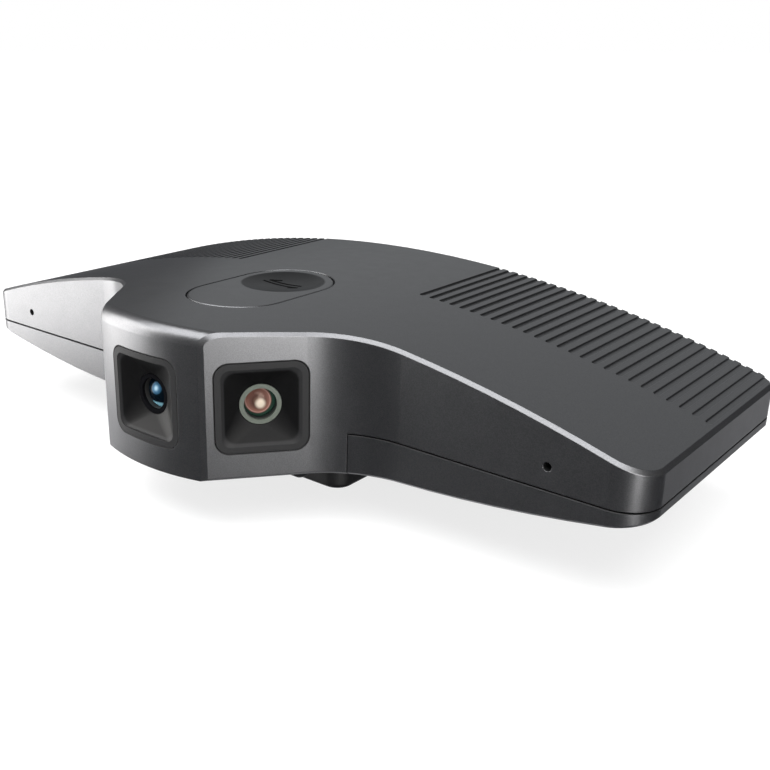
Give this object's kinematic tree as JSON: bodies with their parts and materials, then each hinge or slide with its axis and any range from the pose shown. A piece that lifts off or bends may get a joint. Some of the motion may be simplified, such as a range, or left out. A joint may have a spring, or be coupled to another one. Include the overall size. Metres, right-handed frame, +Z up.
{
  "type": "panoramic conference webcam",
  "caption": "Winged panoramic conference webcam with lenses set in its nose, a rocking key on top and a folding monitor clip that it stands on.",
  "frame": {"origin": "centre of the footprint box, on the face that the folded clip's rubber foot rests on", "axes": "+Z up; X across the wings, and X = 0 is the plane of symmetry; the lenses look towards -Y"},
  "size_m": [0.2208, 0.1078, 0.0513],
  "materials": {
    "shell_finish": "satin dark grey metallic lacquer over moulded shells",
    "key_finish": "satin dark grey, as the shell",
    "hood_plastic": "matt black moulded plastic",
    "ring_finish_side": "pale satin anodised ring",
    "ring_finish_centre": "black anodised ring",
    "lens_glass": "coated lens glass",
    "barrel_plastic": "matt black",
    "sensor_glass": "dark glossy sensor cover",
    "circuit_board": "green solder mask",
    "chip_plastic": "black chip package",
    "thermal_rubber": "soft thermal pad",
    "sink_aluminium": "extruded aluminium",
    "socket_steel": "nickel plated steel",
    "bracket_sheet": "zinc plated sheet steel",
    "screw_steel": "blackened steel",
    "pin_steel": "ground steel",
    "switch_plastic": "black",
    "plunger_plastic": "natural white",
    "connector_plastic": "ivory",
    "ribbon_film": "amber polyimide film",
    "gasket_rubber": "soft black foam rubber",
    "washer_plastic": "natural acetal",
    "clip_plastic": "matt charcoal glass-filled plastic",
    "clip_rubber": "soft black rubber",
    "insert_brass": "turned brass"
  },
  "bodies": {
    "housing": {"top_shell": "shell_finish", "bottom_shell": "shell_finish", "housing_screws": "screw_steel", "key_pin": "pin_steel", "key_switch": "switch_plastic", "key_board": "circuit_board", "key_board_screws": "screw_steel", "camera_bracket": "bracket_sheet", "bracket_screws": "screw_steel", "camera_ribbons": "ribbon_film", "ribbon_connectors": "connector_plastic", "main_board": "circuit_board", "board_screws": "screw_steel", "processor": "chip_plastic", "memory_chips": "chip_plastic", "thermal_pad": "thermal_rubber", "heat_sink": "sink_aluminium", "usb_socket": "socket_steel", "tilt_bracket_screws": "screw_steel", "tilt_pin": "pin_steel", "tilt_washers": "washer_plastic", "tilt_bracket_right": "clip_plastic", "mic_gasket_right": "gasket_rubber", "mic_board_right": "circuit_board", "mic_ribbon_right": "ribbon_film", "tilt_bracket_left": "clip_plastic", "mic_gasket_left": "gasket_rubber", "mic_board_left": "circuit_board", "mic_ribbon_left": "ribbon_film", "lens_hood_centre": "hood_plastic", "lens_ring_centre": "ring_finish_centre", "lens_dome_centre": "lens_glass", "lens_barrel_centre": "barrel_plastic", "lens_holder_centre": "barrel_plastic", "image_board_centre": "circuit_board", "image_sensor_centre": "sensor_glass", "lens_hood_right": "hood_plastic", "lens_ring_right": "ring_finish_side", "lens_dome_right": "lens_glass", "lens_barrel_right": "barrel_plastic", "lens_holder_right": "barrel_plastic", "image_board_right": "circuit_board", "image_sensor_right": "sensor_glass", "lens_hood_left": "hood_plastic", "lens_ring_left": "ring_finish_side", "lens_dome_left": "lens_glass", "lens_barrel_left": "barrel_plastic", "lens_holder_left": "barrel_plastic", "image_board_left": "circuit_board", "image_sensor_left": "sensor_glass"},
    "key": {"mode_key": "key_finish", "switch_plunger": "plunger_plastic"},
    "platform": {"clip_platform": "clip_plastic", "platform_pad": "clip_rubber", "leg_pin": "pin_steel", "leg_washers": "washer_plastic"},
    "leg": {"clip_leg": "clip_plastic", "leg_pad": "clip_rubber", "foot_pad": "clip_rubber", "tripod_insert": "insert_brass"}
  },
  "joints": [
    {"name": "key_rock", "type": "hinge", "parent": "housing", "child": "key", "pos_m": [0, -0.0307, 0.0453], "axis": [1, 0, 0], "range_deg": [-1.3, 0], "stiffness_Nm_per_rad": 2, "springref_deg": 0.69},
    {"name": "clip_tilt", "type": "hinge", "parent": "housing", "child": "platform", "pos_m": [0, -0.0175, 0.0096], "axis": [1, 0, 0], "range_deg": [-20, 0]},
    {"name": "leg_fold", "type": "hinge", "parent": "platform", "child": "leg", "pos_m": [0, 0.03, 0.0082], "axis": [1, 0, 0], "range_deg": [0, 135]}
  ]
}
